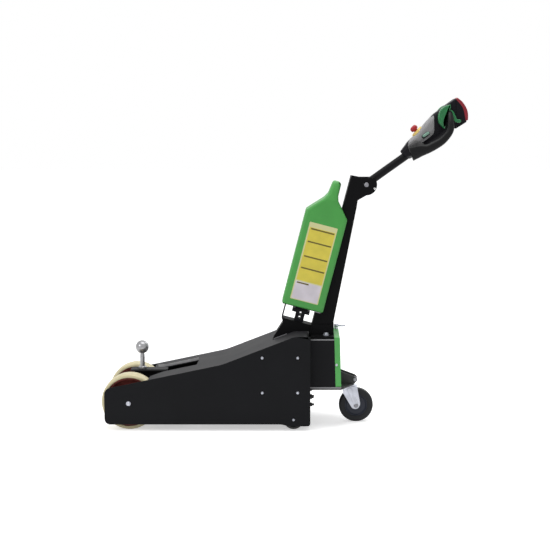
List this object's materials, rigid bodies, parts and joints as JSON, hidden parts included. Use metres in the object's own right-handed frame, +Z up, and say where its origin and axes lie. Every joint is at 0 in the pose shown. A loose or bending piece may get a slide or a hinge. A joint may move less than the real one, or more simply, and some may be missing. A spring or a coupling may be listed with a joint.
{
  "type": "electric tow tractor",
  "caption": "Walk-behind electric tow tractor with enclosed drive wheels, tow ball, upright mast with battery pack, steering tiller and rear caster.",
  "frame": {"origin": "on the floor under the middle of the whole length and width", "axes": "+X to the operator's end, +Z up, +Y to the far side of the picture; the tow ball is at the -X end"},
  "size_m": [1.3146, 0.336, 1.1824],
  "materials": {
    "black_paint": "satin powder coat",
    "grey_paint": "satin powder coat",
    "green_paint": "satin powder coat",
    "green_plastic": "satin",
    "bright_steel": "polished",
    "zinc": "zinc plated",
    "stud_black": "blackened",
    "cream_tread": "smooth polyurethane",
    "red_hub": "satin",
    "roller_plastic": "satin",
    "black_rubber": "smooth",
    "caster_core": "satin",
    "black_plastic": "fine texture",
    "red_plastic": "satin",
    "yellow_plastic": "satin",
    "lever_green": "gloss",
    "button_green": "satin"
  },
  "bodies": {
    "chassis": {"side_plate_near": "black_paint", "side_plate_far": "black_paint", "top_cover": "grey_paint", "tongue_plate": "grey_paint", "tow_ball": "bright_steel", "drive_unit": "black_paint", "drive_axle": "zinc", "roller_axle": "zinc", "rear_wall": "black_paint", "floor_plate": "black_paint", "rear_box": "black_paint", "deck_plate": "grey_paint", "rear_panel": "green_paint", "panel_latch": "zinc", "caster_bracket": "grey_paint", "caster_cross_bolt": "zinc", "mast": "black_paint", "mast_foot": "black_paint", "foot_bolts": "zinc", "pivot_bolt": "zinc", "battery_pack": "green_plastic", "battery_dock": "black_paint", "dock_tee": "black_plastic", "battery_plug": "black_plastic", "side_bolts": "zinc", "rear_studs": "stud_black"},
    "wheel_near": {"drive_tyre_near": "cream_tread", "drive_hub_near": "red_hub"},
    "wheel_far": {"drive_tyre_far": "cream_tread", "drive_hub_far": "red_hub"},
    "rear_roller_near": {"roller_near": "roller_plastic"},
    "rear_roller_far": {"roller_far": "roller_plastic"},
    "caster": {"caster_head": "zinc", "caster_fork": "zinc", "caster_axle": "zinc"},
    "caster_wheel": {"caster_hub": "caster_core", "caster_tyre": "black_rubber"},
    "tiller": {"tiller_arm": "black_paint", "head_collar": "black_plastic", "head_body": "black_plastic", "head_end": "black_plastic", "end_cap": "red_plastic", "grip_near": "black_plastic", "grip_far": "black_plastic", "thumb_levers": "lever_green", "stop_base": "yellow_plastic", "stop_button": "red_plastic", "side_buttons": "button_green"}
  },
  "joints": [
    {"name": "wheel_near_spin", "type": "hinge", "parent": "chassis", "child": "wheel_near", "pos_m": [-0.5573, -0.104, 0.1], "axis": [0, 1, 0], "continuous": true},
    {"name": "wheel_far_spin", "type": "hinge", "parent": "chassis", "child": "wheel_far", "pos_m": [-0.5573, 0.104, 0.1], "axis": [0, 1, 0], "continuous": true},
    {"name": "roller_near_spin", "type": "hinge", "parent": "chassis", "child": "rear_roller_near", "pos_m": [0.0307, -0.136, 0.041], "axis": [0, 1, 0], "continuous": true},
    {"name": "roller_far_spin", "type": "hinge", "parent": "chassis", "child": "rear_roller_far", "pos_m": [0.0307, 0.136, 0.041], "axis": [0, 1, 0], "continuous": true},
    {"name": "caster_swivel", "type": "hinge", "parent": "chassis", "child": "caster", "pos_m": [0.2337, 0, 0.13], "axis": [0, 0, 1], "continuous": true},
    {"name": "caster_spin", "type": "hinge", "parent": "caster", "child": "caster_wheel", "pos_m": [0.2587, 0, 0.0625], "axis": [0, 1, 0], "continuous": true},
    {"name": "tiller_pivot", "type": "hinge", "parent": "chassis", "child": "tiller", "pos_m": [0.2917, 0, 0.872], "axis": [0, 1, 0], "range_deg": [-50, 60]}
  ]
}
